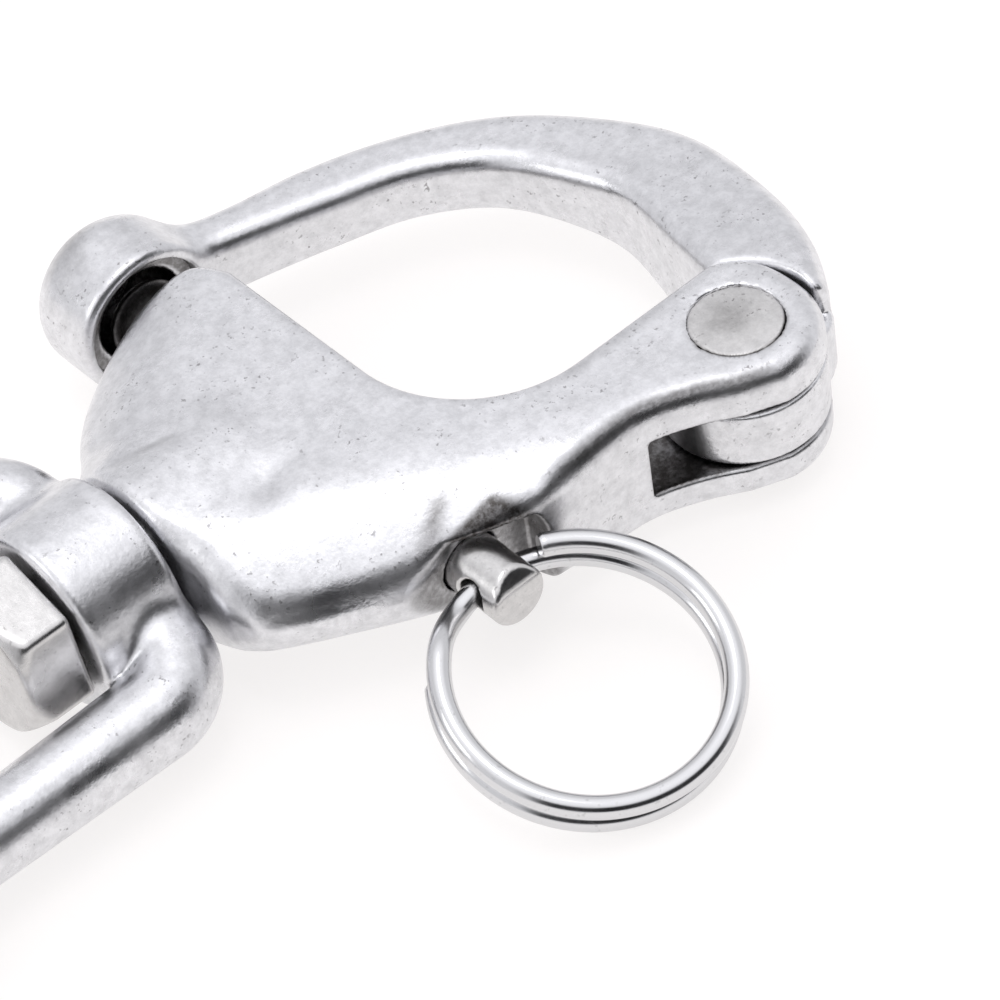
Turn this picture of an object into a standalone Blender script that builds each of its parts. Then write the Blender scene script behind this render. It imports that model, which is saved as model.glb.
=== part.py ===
"""A swivel snap shackle: cast body, hinged bail, sprung plunger with a pull ring, and a swivelling fork.

The object lies flat. +X runs from the fork to the bail along the swivel axis, +Y from the pull knob
to the bail's nose along the plunger, and +Z up, square to the body's flat faces. Lengths are metres.
Everything is first placed from the point where the swivel and plunger axes cross, at height MID, and
then moved so that the origin is the middle of the bottom of the bounding box.
"""

import math

import bmesh
import bpy
from mathutils import Matrix, Vector

MM = 0.001

# Body: a plate with a fat lobe round the two crossing bores and an arm out to the pivot boss.
THICKNESS = 11.7 * MM
MID = THICKNESS / 2
LOBE_END_X = -15.1 * MM  # end face, towards the fork
MOUTH_X = 4.0 * MM  # straight edge of the mouth, beside the plunger
MOUTH_Y = -12.1 * MM  # straight edge of the arm, along the mouth
MOUTH_FILLET = 10.3 * MM
ARM_OUTER_Y = -19.2 * MM
EDGE_ROUND = 0.9 * MM
SOCKET_RADIUS = 6.3 * MM  # the round bulge that holds the swivel bolt
SOCKET_TAPER_X = -4.0 * MM
SPOT_FACE_Y = -16.4 * MM  # flat round which the knob comes out
SPOT_FACE_RADIUS = 5.1 * MM

# Pivot of the bail
PIVOT = Vector((24.2 * MM, -17.6 * MM, MID))
BOSS_RADIUS = 6.1 * MM
SLOT_END_X = 14.0 * MM
SLOT_HALF = 2.6 * MM
EYE_HALF = 2.35 * MM
RIVET_RADIUS = 2.4 * MM
RIVET_HEAD_RADIUS = 3.4 * MM
RIVET_HEAD_DEPTH = 1.1 * MM
RIVET_GAP = 0.12 * MM
EYE_BORE_RADIUS = 2.5 * MM
BAIL_CLEAR_RADIUS = 6.5 * MM

# Bail: nose barrel on the plunger axis, and a bow of rounded section back to the pivot.
NOSE_FACE_Y = 18.0 * MM
NOSE_RADIUS = 5.9 * MM
NOSE_BACK_Y = 26.3 * MM
NOSE_RECESS_RADIUS = 4.9 * MM
NOSE_RECESS_DEPTH = 1.0 * MM
NOSE_SOCKET_RADIUS = 3.6 * MM
NOSE_SOCKET_DEPTH = 6.5 * MM
# Stations along the bow: centre x, centre y, half width in plan, half height.
BOW_STATIONS = (
    (1.5, 21.4, 2.4, 3.2),
    (7.9, 19.5, 2.05, 2.9),
    (15.4, 17.75, 2.5, 2.75),
    (22.2, 15.3, 2.5, 2.75),
    (27.7, 11.35, 2.85, 2.85),
    (31.25, 5.8, 3.5, 3.1),
    (33.1, -0.45, 4.0, 3.7),
    (32.1, -7.9, 4.3, 4.5),
    (30.6, -13.3, 4.0, 5.2),
    (29.1, -17.6, 3.4, 5.4),
)
BOW_STEPS = 4  # rings between two stations
BOW_RING = 24  # points round a ring
BOW_SQUARENESS = 3.0  # exponent of the superellipse

# Plunger
PLUNGER_RADIUS = 3.1 * MM
PLUNGER_DOME = 4.6 * MM  # radius of the domed tip
PLUNGER_ENGAGED = 2.0 * MM  # how far the dome reaches past the nose's face
PLUNGER_SHOULDER_Y = 4.0 * MM
KNOB_RADIUS = 2.25 * MM
KNOB_END_Y = -21.4 * MM
KNOB_FACET = 0.9 * MM
BORE_RADIUS = 3.22 * MM
KNOB_BORE_RADIUS = 2.37 * MM
BORE_END_Y = -12.0 * MM
RING_HOLE_Y = -18.75 * MM
RING_HOLE_RADIUS = 1.2 * MM
SPRING_WIRE = 0.6 * MM
SPRING_MEAN_RADIUS = 2.76 * MM
SPRING_TURNS = 8
SPRING_TURN_POINTS = 14

# Rings of two turns, as (mean radius, wire diameter)
PULL_RING = (9.95 * MM, 1.7 * MM)
PULL_RING_TILT = 18.0  # degrees below level
PULL_RING_YAW = 4.0
CLEVIS_RING = (7.4 * MM, 1.25 * MM)
CLEVIS_RING_TILT = 36.0
RING_COIL_GAP = 0.12 * MM
RING_TURN_POINTS = 36
RING_CUT_CLEARANCE = 0.6  # from the hole's mouth to the upper turn's cut end, in wire diameters
RING_JOG = 30.0  # degrees over which the wire steps from the upper turn to the lower one
RING_TAIL = 6.0  # degrees from the jog to the cut end of the lower turn

# Swivel, its axis parallel to X
SWIVEL_Y = 1.2 * MM
HUB_FACE_X = -16.0 * MM
HUB_BACK_X = -23.6 * MM
HUB_RADIUS = 7.1 * MM
HUB_ROUND = 0.7 * MM
HUB_BORE_RADIUS = 3.15 * MM
BOLT_RADIUS = 3.0 * MM
BOLT_END_X = -5.3 * MM
BOLT_BORE_END_X = -5.0 * MM
BOLT_BORE_RADIUS = 3.12 * MM
BOLT_HEAD_ACROSS_FLATS = 11.2 * MM
BOLT_HEAD_TURN = 17.0  # degrees about the swivel axis from a corner at +Z
BOLT_HEAD_LENGTH = 4.9 * MM
BOLT_HEAD_GAP = 0.35 * MM

# Fork and its pin
ARM_Y = 10.7 * MM
ARM_RADIUS_CORNER = 3.3 * MM
ARM_RADIUS_END = 2.85 * MM
ARM_CORNER_BEND = 3.8 * MM
FORK_TURN = 12.0  # degrees about the swivel axis, until the near arm rests on the surface
CROWN_X = -18.8 * MM
PIN_X = -45.0 * MM
EAR_RADIUS = 4.4 * MM
EAR_INNER_Y = 7.95 * MM
EAR_OUTER_Y = 13.65 * MM
PIN_RADIUS = 2.5 * MM
PIN_BORE_RADIUS = 2.6 * MM
PIN_HEAD_RADIUS = 3.5 * MM
PIN_HEAD_LENGTH = 1.8 * MM
PIN_END_Y = 18.4 * MM
PIN_HOLE_Y = 16.0 * MM
PIN_HOLE_RADIUS = 1.1 * MM
SIDE_GAP = 0.3 * MM

ROUND_SIDES = 48
SMALL_SIDES = 32
ALONG_X = Matrix.Rotation(math.pi / 2, 4, "Y")
ALONG_Y = Matrix.Rotation(-math.pi / 2, 4, "X")


def clear_scene():
    for obj in list(bpy.data.objects):
        bpy.data.objects.remove(obj, do_unlink=True)


def new_collection(name, hidden=False):
    collection = bpy.data.collections.new(name)
    bpy.context.scene.collection.children.link(collection)
    collection.hide_render = hidden
    return collection


def new_metal(name, colour, roughness):
    material = bpy.data.materials.new(name)
    material.use_nodes = True
    shader = material.node_tree.nodes["Principled BSDF"]
    shader.inputs["Base Color"].default_value = (*colour, 1.0)
    shader.inputs["Metallic"].default_value = 1.0
    shader.inputs["Roughness"].default_value = roughness
    return material


def add_object(name, mesh, collection):
    obj = bpy.data.objects.new(name, mesh)
    collection.objects.link(obj)
    return obj


def mesh_from(bm, name):
    mesh = bpy.data.meshes.new(name)
    bmesh.ops.recalc_face_normals(bm, faces=bm.faces)
    bm.to_mesh(mesh)
    bm.free()
    return mesh


def cylinder(name, collection, radius, start, end, turn, sides=ROUND_SIDES, end_radius=None):
    """A cylinder or cone frustum between two points on one axis; turn carries +Z onto that axis."""
    bm = bmesh.new()
    length = (end - start).length
    top = radius if end_radius is None else end_radius
    bmesh.ops.create_cone(bm, cap_ends=True, segments=sides, radius1=radius, radius2=top, depth=length)
    bmesh.ops.transform(bm, verts=bm.verts, matrix=Matrix.Translation((start + end) / 2) @ turn)
    return add_object(name, mesh_from(bm, name), collection)


def along_x(name, collection, radius, x0, x1, y=0.0, sides=ROUND_SIDES, end_radius=None):
    start = Vector((x0, y, MID))
    end = Vector((x1, y, MID))
    return cylinder(name, collection, radius, start, end, ALONG_X, sides, end_radius)


def along_y(name, collection, radius, y0, y1, x=0.0, sides=ROUND_SIDES, end_radius=None):
    start = Vector((x, y0, MID))
    end = Vector((x, y1, MID))
    return cylinder(name, collection, radius, start, end, ALONG_Y, sides, end_radius)


def along_z(name, collection, radius, z0, z1, centre, sides=ROUND_SIDES):
    start = Vector((centre.x, centre.y, z0))
    end = Vector((centre.x, centre.y, z1))
    return cylinder(name, collection, radius, start, end, Matrix.Identity(4), sides)


def box(name, collection, low, high):
    bm = bmesh.new()
    bmesh.ops.create_cube(bm, size=1.0)
    size = [h - l for l, h in zip(low, high)]
    centre = [(h + l) / 2 for l, h in zip(low, high)]
    matrix = Matrix.Translation(centre) @ Matrix.Diagonal((*size, 1.0))
    bmesh.ops.transform(bm, verts=bm.verts, matrix=matrix)
    return add_object(name, mesh_from(bm, name), collection)


def curve_to_mesh(curve_object, name, collection):
    """Replaces a curve object by the mesh it evaluates to, with its caps welded on."""
    graph = bpy.context.evaluated_depsgraph_get()
    mesh = bpy.data.meshes.new_from_object(curve_object.evaluated_get(graph))
    matrix = curve_object.matrix_world.copy()
    bpy.data.objects.remove(curve_object, do_unlink=True)
    bm = bmesh.new()
    bm.from_mesh(mesh)
    bmesh.ops.remove_doubles(bm, verts=bm.verts, dist=0.00001)
    bmesh.ops.recalc_face_normals(bm, faces=bm.faces)
    bm.to_mesh(mesh)
    bm.free()
    obj = add_object(name, mesh, collection)
    obj.matrix_world = matrix
    return obj


def plate(name, collection, outline, half, edge=0.0):
    """A flat outline of (x, y) points as a plate of the given half thickness, its rim rounded by edge."""
    curve = bpy.data.curves.new(name, "CURVE")
    curve.dimensions = "2D"
    curve.fill_mode = "BOTH"
    curve.extrude = half - edge
    curve.bevel_depth = edge
    curve.bevel_resolution = 2
    curve.offset = -edge
    spline = curve.splines.new("POLY")
    spline.points.add(len(outline) - 1)
    for point, (x, y) in zip(spline.points, outline):
        point.co = (x, y, 0.0, 1.0)
    spline.use_cyclic_u = True
    curve_object = add_object(name, curve, collection)
    curve_object.location = (0.0, 0.0, MID)
    bpy.context.view_layer.update()
    return curve_to_mesh(curve_object, name, collection)


def tube(name, collection, points, radii, sides_resolution=2):
    """A round tube along points, with its own radius at each."""
    curve = bpy.data.curves.new(name, "CURVE")
    curve.dimensions = "3D"
    curve.bevel_depth = 1.0 * MM
    curve.bevel_resolution = sides_resolution
    curve.use_fill_caps = True
    spline = curve.splines.new("POLY")
    spline.points.add(len(points) - 1)
    for target, place, radius in zip(spline.points, points, radii):
        target.co = (*place, 1.0)
        target.radius = radius / MM
    curve_object = add_object(name, curve, collection)
    bpy.context.view_layer.update()
    return curve_to_mesh(curve_object, name, collection)


def boolean(obj, operation, other, cutters):
    """Adds a Boolean modifier, and puts its operand with the cutters."""
    modifier = obj.modifiers.new(f"{operation.title()} {other.name}", "BOOLEAN")
    modifier.operation = operation
    modifier.solver = "EXACT"
    modifier.object = other
    for collection in list(other.users_collection):
        collection.objects.unlink(other)
    cutters.objects.link(other)
    other.hide_render = True
    other.display_type = "WIRE"


def finish_part(obj, material, origin):
    """Gives a part its material, smooth shading and an origin on its own axis."""
    obj.data.materials.clear()
    obj.data.materials.append(material)
    obj.data.shade_smooth()
    obj.data.set_sharp_from_angle(angle=math.radians(35))
    bpy.context.view_layer.update()
    shift = obj.matrix_world.inverted() @ Vector(origin)
    obj.data.transform(Matrix.Translation(-shift))
    obj.location = obj.matrix_world @ shift


def arc(centre, radius, start, end, steps):
    """(x, y) points of an arc, in degrees, ends included."""
    angles = [math.radians(start + (end - start) * i / steps) for i in range(steps + 1)]
    return [(centre[0] + radius * math.cos(a), centre[1] + radius * math.sin(a)) for a in angles]


def smooth_line(points, steps):
    """A Catmull-Rom curve through points of any dimension, ends included."""
    padded = [points[0], *points, points[-1]]
    found = []
    for i in range(1, len(padded) - 2):
        p0, p1, p2, p3 = padded[i - 1 : i + 3]
        for k in range(steps):
            t = k / steps
            found.append(
                tuple(
                    b
                    + (c - a) * t / 2
                    + (a - 2.5 * b + 2 * c - d / 2) * t**2
                    + (1.5 * b - a / 2 - 1.5 * c + d / 2) * t**3
                    for a, b, c, d in zip(p0, p1, p2, p3)
                )
            )
    found.append(tuple(points[-1]))
    return found


def body_outline():
    """The body in plan, anticlockwise: boss, mouth edge, lobe, end face, front wall."""
    boss = arc(PIVOT.xy, BOSS_RADIUS, -100, 65, 14)
    fillet_centre = (MOUTH_X + MOUTH_FILLET, MOUTH_Y + MOUTH_FILLET)
    mouth = arc(fillet_centre, MOUTH_FILLET, 270, 180, 12)
    lobe_points = ((4.0, 12.6), (2.6, 15.2), (0.0, 16.1), (-3.6, 15.7), (-7.9, 13.9), (-11.4, 11.3))
    lobe_points += ((-13.8, 8.2), (-15.1, 5.0))
    front_points = ((-15.1, -8.8), (-14.2, -11.2), (-11.8, -13.1), (-9.0, -14.6), (-6.0, -16.1))
    front_points += ((-3.0, -17.3),)
    wall_points = ((-3.0, -17.3), (0.0, -18.2), (4.0, -18.9), (8.0, -19.2), (13.5, -19.3))
    wall_points += ((17.2, -20.6), (20.2, -22.4))
    lobe = smooth_line([(x * MM, y * MM) for x, y in lobe_points], 3)
    front = smooth_line([(x * MM, y * MM) for x, y in front_points], 3)
    wall = smooth_line([(x * MM, y * MM) for x, y in wall_points], 3)
    return [*boss, *mouth, *lobe, *front, *wall[1:]]


def pillow(name, collection, direction, rim, rim_half, reach):
    """A block that keeps a body's middle and rounds it off towards one side.

    direction is the plan angle that side faces, rim the distance out to it, rim_half the half
    thickness left there, and reach how far in the rounding starts."""
    full = THICKNESS * 0.6
    section = [(-40 * MM, full), (rim - reach, full)]
    for i in range(1, 11):
        share = 1 - i / 10
        section.append((rim - reach * share, rim_half + (full - rim_half) * (1 - (1 - share) ** 2)))
    section.append((rim + 4 * MM, rim_half))
    outline = section + [(u, -v) for u, v in reversed(section)]
    block = plate(name, collection, outline, 60 * MM)
    stand = Matrix.Rotation(math.radians(direction), 4, "Z") @ Matrix.Rotation(math.pi / 2, 4, "X")
    block.data.transform(stand)
    return block


def make_body(parts, cutters, metal):
    body = plate("body", parts, body_outline(), MID, EDGE_ROUND)
    front_pillow = pillow("front_pillow", parts, -121, 17.0 * MM, 1.75 * MM, 13.0 * MM)
    boolean(body, "INTERSECT", front_pillow, cutters)
    back_pillow = pillow("back_pillow", parts, 127, 15.9 * MM, 2.6 * MM, 11.0 * MM)
    boolean(body, "INTERSECT", back_pillow, cutters)
    bulge_end = SOCKET_RADIUS * 0.9
    bulge = along_x(
        "socket_bulge", parts, SOCKET_RADIUS, LOBE_END_X, SOCKET_TAPER_X, SWIVEL_Y, end_radius=bulge_end
    )
    boolean(body, "UNION", bulge, cutters)
    slot_low = (SLOT_END_X, -40 * MM, MID - SLOT_HALF)
    slot_high = (45 * MM, 20 * MM, MID + SLOT_HALF)
    boolean(body, "DIFFERENCE", box("slot", parts, slot_low, slot_high), cutters)
    spot_face = along_y("spot_face", parts, SPOT_FACE_RADIUS, -30 * MM, SPOT_FACE_Y)
    boolean(body, "DIFFERENCE", spot_face, cutters)
    notch_low = (-SPOT_FACE_RADIUS, -30 * MM, -5 * MM)
    notch_high = (SPOT_FACE_RADIUS, SPOT_FACE_Y, MID)
    boolean(body, "DIFFERENCE", box("spot_notch", parts, notch_low, notch_high), cutters)
    boolean(body, "DIFFERENCE", along_y("plunger_bore", parts, BORE_RADIUS, BORE_END_Y, 30 * MM), cutters)
    knob_bore = along_y("knob_bore", parts, KNOB_BORE_RADIUS, -30 * MM, 0.0, sides=SMALL_SIDES)
    boolean(body, "DIFFERENCE", knob_bore, cutters)
    bolt_bore = along_x("bolt_bore", parts, BOLT_BORE_RADIUS, -30 * MM, BOLT_BORE_END_X, SWIVEL_Y)
    boolean(body, "DIFFERENCE", bolt_bore, cutters)
    hole_radius = RIVET_RADIUS + RIVET_GAP
    boolean(body, "DIFFERENCE", along_z("rivet_hole", parts, hole_radius, -5 * MM, 20 * MM, PIVOT), cutters)
    seat_radius = RIVET_HEAD_RADIUS + RIVET_GAP
    seat_depth = RIVET_HEAD_DEPTH + RIVET_GAP
    low_seat = along_z("low_seat", parts, seat_radius, -5 * MM, seat_depth, PIVOT)
    high_seat = along_z("high_seat", parts, seat_radius, THICKNESS - seat_depth, 20 * MM, PIVOT)
    boolean(body, "DIFFERENCE", low_seat, cutters)
    boolean(body, "DIFFERENCE", high_seat, cutters)
    finish_part(body, metal, (0, 0, MID))
    return body


def make_rivet(parts, cutters, metal):
    rivet = along_z("pivot_rivet", parts, RIVET_RADIUS, 0.5 * MM, THICKNESS - 0.5 * MM, PIVOT)
    low_head = along_z("low_head", parts, RIVET_HEAD_RADIUS, 0.02 * MM, RIVET_HEAD_DEPTH, PIVOT)
    high_start = THICKNESS - RIVET_HEAD_DEPTH
    high_head = along_z("high_head", parts, RIVET_HEAD_RADIUS, high_start, THICKNESS, PIVOT)
    boolean(rivet, "UNION", low_head, cutters)
    boolean(rivet, "UNION", high_head, cutters)
    finish_part(rivet, metal, PIVOT)
    return rivet


def bow(name, collection):
    """A loft of superellipse sections along the bow's stations."""
    stations = smooth_line(BOW_STATIONS, BOW_STEPS)
    bm = bmesh.new()
    rings = []
    for i, (x, y, half_width, half_height) in enumerate(stations):
        before = stations[max(i - 1, 0)]
        after = stations[min(i + 1, len(stations) - 1)]
        tangent = Vector((after[0] - before[0], after[1] - before[1], 0)).normalized()
        outward = tangent.cross(Vector((0, 0, 1)))
        ring = []
        for k in range(BOW_RING):
            angle = 2 * math.pi * k / BOW_RING
            across = math.copysign(abs(math.cos(angle)) ** (2 / BOW_SQUARENESS), math.cos(angle))
            up = math.copysign(abs(math.sin(angle)) ** (2 / BOW_SQUARENESS), math.sin(angle))
            centre = Vector((x, y, MID / MM))
            place = centre + outward * across * half_width + Vector((0, 0, up * half_height))
            ring.append(bm.verts.new(place * MM))
        rings.append(ring)
    for first, second in zip(rings, rings[1:]):
        for k in range(BOW_RING):
            following = (k + 1) % BOW_RING
            bm.faces.new((first[k], first[following], second[following], second[k]))
    bm.faces.new(rings[0])
    bm.faces.new(rings[-1])
    return add_object(name, mesh_from(bm, name), collection)


def nose_profile():
    """Turned profile of the nose barrel as (radius, y): face, rounded rim, side and domed back."""
    rim = 0.7 * MM
    side_end = NOSE_FACE_Y + 4.6 * MM
    dome = NOSE_BACK_Y - side_end
    points = [(0.0, NOSE_FACE_Y), (NOSE_RADIUS - rim, NOSE_FACE_Y)]
    points += [(NOSE_RADIUS - rim + x, NOSE_FACE_Y + rim + y) for x, y in arc((0, 0), rim, -60, 0, 2)]
    for i in range(9):
        angle = math.pi / 2 * i / 8
        points.append((NOSE_RADIUS * math.cos(angle), side_end + dome * math.sin(angle)))
    points[-1] = (0.0, NOSE_BACK_Y)
    return points


def turned(name, collection, profile, place=Matrix.Identity(4), sides=ROUND_SIDES):
    """A solid turned about a line along Y at height MID, from (radius, y) points, then moved by place."""
    bm = bmesh.new()
    verts = [bm.verts.new((radius, y, 0.0)) for radius, y in profile]
    edges = [bm.edges.new(pair) for pair in zip(verts, verts[1:])]
    bmesh.ops.spin(
        bm,
        geom=verts + edges,
        angle=2 * math.pi,
        steps=sides,
        axis=(0, 1, 0),
        cent=(0, 0, 0),
        use_merge=True,
    )
    bmesh.ops.remove_doubles(bm, verts=bm.verts, dist=0.00001)
    bmesh.ops.transform(bm, verts=bm.verts, matrix=Matrix.Translation((0, 0, MID)) @ place)
    return add_object(name, mesh_from(bm, name), collection)


def make_bail(parts, cutters, metal):
    bail = bow("bail", parts)
    boolean(bail, "UNION", turned("nose_barrel", parts, nose_profile()), cutters)
    clear_low = along_z("clear_low", parts, BAIL_CLEAR_RADIUS, -5 * MM, MID - EYE_HALF, PIVOT)
    clear_high = along_z("clear_high", parts, BAIL_CLEAR_RADIUS, MID + EYE_HALF, 20 * MM, PIVOT)
    boolean(bail, "DIFFERENCE", clear_low, cutters)
    boolean(bail, "DIFFERENCE", clear_high, cutters)
    eye_half = EYE_HALF - 0.01 * MM
    eye = along_z("eye", parts, BOSS_RADIUS, MID - eye_half, MID + eye_half, PIVOT)
    boolean(bail, "UNION", eye, cutters)
    eye_bore = along_z("eye_bore", parts, EYE_BORE_RADIUS, -5 * MM, 20 * MM, PIVOT)
    boolean(bail, "DIFFERENCE", eye_bore, cutters)
    recess_end = NOSE_FACE_Y + NOSE_RECESS_DEPTH
    recess = along_y("nose_recess", parts, NOSE_RECESS_RADIUS, NOSE_FACE_Y - 5 * MM, recess_end)
    socket_end = NOSE_FACE_Y + NOSE_SOCKET_DEPTH
    socket = along_y("nose_socket", parts, NOSE_SOCKET_RADIUS, NOSE_FACE_Y - 5 * MM, socket_end)
    boolean(bail, "DIFFERENCE", recess, cutters)
    boolean(bail, "DIFFERENCE", socket, cutters)
    finish_part(bail, metal, PIVOT)
    return bail


def plunger_profile():
    """Turned profile of the plunger as (radius, y), from the knob's end to the domed tip."""
    apex = NOSE_FACE_Y + PLUNGER_ENGAGED
    dome_centre = apex - PLUNGER_DOME
    points = [(0.0, KNOB_END_Y), (KNOB_RADIUS - 0.4 * MM, KNOB_END_Y), (KNOB_RADIUS, KNOB_END_Y + 0.4 * MM)]
    points += [(KNOB_RADIUS, PLUNGER_SHOULDER_Y), (PLUNGER_RADIUS, PLUNGER_SHOULDER_Y)]
    rim_angle = math.acos(PLUNGER_RADIUS / PLUNGER_DOME)
    for i in range(7):
        angle = rim_angle + (math.pi / 2 - rim_angle) * i / 6
        points.append((PLUNGER_DOME * math.cos(angle), dome_centre + PLUNGER_DOME * math.sin(angle)))
    points[-1] = (0.0, apex)
    return points


def make_plunger(parts, cutters, metal):
    plunger = turned("plunger_pin", parts, plunger_profile(), sides=SMALL_SIDES)
    hole = along_x("ring_hole", parts, RING_HOLE_RADIUS, -5 * MM, 5 * MM, sides=20)
    hole.data.transform(Matrix.Translation((0, RING_HOLE_Y, 0)))
    boolean(plunger, "DIFFERENCE", hole, cutters)
    facet = box("end_facet", parts, (-4 * MM, -2 * MM, 0), (4 * MM, 0, 6 * MM))
    facet_place = Matrix.Translation((0, KNOB_END_Y + KNOB_FACET, MID + KNOB_RADIUS))
    facet_tilt = Matrix.Rotation(math.radians(-38), 4, "X") @ Matrix.Translation((0, 0, -3 * MM))
    facet.data.transform(facet_place @ facet_tilt)
    boolean(plunger, "DIFFERENCE", facet, cutters)
    finish_part(plunger, metal, (0, RING_HOLE_Y, MID))
    return plunger


def make_spring(parts, metal):
    """A helix round the shank, between the bore's end and the plunger's shoulder."""
    start = BORE_END_Y + SPRING_WIRE / 2 + 0.15 * MM
    end = PLUNGER_SHOULDER_Y - SPRING_WIRE / 2 - 0.15 * MM
    count = SPRING_TURNS * SPRING_TURN_POINTS
    points = []
    for i in range(count + 1):
        angle = 2 * math.pi * i / SPRING_TURN_POINTS
        y = start + (end - start) * i / count
        points.append((SPRING_MEAN_RADIUS * math.cos(angle), y, MID + SPRING_MEAN_RADIUS * math.sin(angle)))
    spring = tube("plunger_spring", parts, points, [SPRING_WIRE / 2] * len(points))
    finish_part(spring, metal, (0, BORE_END_Y, MID))
    return spring


def ring_point(mean_radius, step, angle, jog_end):
    """A point of a two-turn ring that hangs from the origin towards -Y, its lower turn at height 0.

    angle is in degrees round the ring from the hole, and the upper turn steps down before jog_end."""
    turn = math.radians(angle)
    share = min(max((angle - jog_end) / RING_JOG + 1, 0.0), 1.0)
    height = step * (1 - share * share * (3 - 2 * share))
    return (mean_radius * math.sin(turn), mean_radius * (math.cos(turn) - 1), height)


def make_ring(name, parts, metal, size, hole, half_hole, tilt, heading):
    """A split ring through a cross-hole along X, tilted down to the surface, heading degrees round from -Y.

    half_hole is half the hole's length: the wire's bend is shared between its middle and its ends."""
    mean_radius, wire = size
    step = wire + RING_COIL_GAP
    start = math.degrees(math.asin((half_hole + RING_CUT_CLEARANCE * wire) / mean_radius))
    jog_end = 360 - start
    end = 720 - start - RING_JOG - RING_TAIL
    count = round((end - start) / 360 * RING_TURN_POINTS)
    angles = [start + (end - start) * i / count for i in range(count + 1)]
    points = [ring_point(mean_radius, step, angle, jog_end) for angle in angles]
    ring = tube(name, parts, points, [wire / 2] * len(points))
    half_sag = mean_radius * (1 - math.cos(math.asin(half_hole / mean_radius))) / 2
    settle = Matrix.Translation((0, half_sag, 0))
    turn = Matrix.Rotation(math.radians(heading), 4, "Z") @ Matrix.Rotation(math.radians(tilt), 4, "X")
    ring.data.transform(Matrix.Translation(hole) @ turn @ settle)
    finish_part(ring, metal, hole)
    return ring


def turn_about_swivel(objects, degrees):
    """Turns objects, cutters among them, about the swivel axis."""
    centre = Matrix.Translation((0, SWIVEL_Y, MID))
    turn = centre @ Matrix.Rotation(math.radians(degrees), 4, "X") @ centre.inverted()
    bpy.context.view_layer.update()
    for obj in objects:
        obj.matrix_world = turn @ obj.matrix_world


def make_bolt(parts, cutters, metal):
    head_end = HUB_BACK_X - BOLT_HEAD_GAP
    head_start = head_end - BOLT_HEAD_LENGTH
    bolt = along_x("swivel_bolt", parts, BOLT_RADIUS, head_end - 1 * MM, BOLT_END_X, SWIVEL_Y)
    corner_radius = BOLT_HEAD_ACROSS_FLATS / 2 / math.cos(math.pi / 6)
    head = along_x("bolt_head", parts, corner_radius, head_start, head_end, SWIVEL_Y, sides=6)
    face_radius = BOLT_HEAD_ACROSS_FLATS / 2 - 0.4 * MM
    crown_start = head_start - 0.01 * MM
    crown = along_x("head_crown", parts, face_radius, crown_start, 0.0, SWIVEL_Y, end_radius=30 * MM)
    boolean(head, "INTERSECT", crown, cutters)
    turn_about_swivel([head, crown], BOLT_HEAD_TURN)
    boolean(bolt, "UNION", head, cutters)
    finish_part(bolt, metal, (HUB_FACE_X, SWIVEL_Y, MID))
    return bolt


def fork_path():
    """Centre line and radii of the fork's bar: one arm, its corner, the crown, and the same mirrored."""
    corner_centre = (CROWN_X - ARM_CORNER_BEND, ARM_Y - ARM_CORNER_BEND)
    half = [((PIN_X, ARM_Y), ARM_RADIUS_END)]
    arm_end_x = corner_centre[0]
    for share in (0.35, 0.7):
        x = PIN_X + (arm_end_x - PIN_X) * share
        half.append(((x, ARM_Y), ARM_RADIUS_END + (ARM_RADIUS_CORNER - ARM_RADIUS_END) * share))
    half += [(point, ARM_RADIUS_CORNER) for point in arc(corner_centre, ARM_CORNER_BEND, 90, 0, 6)]
    half.append(((CROWN_X, 2.5 * MM), ARM_RADIUS_CORNER))
    mirrored = [((x, -y), radius) for (x, y), radius in reversed(half)]
    path = half + mirrored
    return [(x, y, MID) for (x, y), _ in path], [radius for _, radius in path]


def hub_profile():
    """Turned profile of the fork's hub as (radius, x): flat ends and well rounded rims."""
    inner = HUB_RADIUS - HUB_ROUND
    back = arc((inner, HUB_BACK_X + HUB_ROUND), HUB_ROUND, -90, 0, 4)
    front = arc((inner, HUB_FACE_X - HUB_ROUND), HUB_ROUND, 0, 90, 4)
    return [(0.0, HUB_BACK_X), *back, *front, (0.0, HUB_FACE_X)]


def make_fork(parts, cutters, metal):
    points, radii = fork_path()
    fork = tube("swivel_fork", parts, points, radii, sides_resolution=6)
    hub = turned("hub", parts, hub_profile(), Matrix.Rotation(-math.pi / 2, 4, "Z"))
    boolean(fork, "UNION", hub, cutters)
    for side in (-1, 1):
        faces = sorted((side * (EAR_INNER_Y - 1 * MM), side * EAR_OUTER_Y))
        ear_name = "ear_right" if side < 0 else "ear_left"
        ear = along_y(ear_name, parts, EAR_RADIUS, faces[0], faces[1], x=PIN_X)
        boolean(fork, "UNION", ear, cutters)
    jaw_low = (PIN_X - EAR_RADIUS - 1 * MM, -EAR_INNER_Y, -5 * MM)
    jaw_high = (PIN_X + EAR_RADIUS, EAR_INNER_Y, 20 * MM)
    boolean(fork, "DIFFERENCE", box("jaw", parts, jaw_low, jaw_high), cutters)
    pin_bore = along_y("pin_bore", parts, PIN_BORE_RADIUS, -30 * MM, 30 * MM, x=PIN_X)
    boolean(fork, "DIFFERENCE", pin_bore, cutters)
    boolean(fork, "DIFFERENCE", along_x("hub_bore", parts, HUB_BORE_RADIUS, -30 * MM, 0.0), cutters)
    finish_part(fork, metal, (HUB_FACE_X, 0, MID))
    return fork


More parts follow.
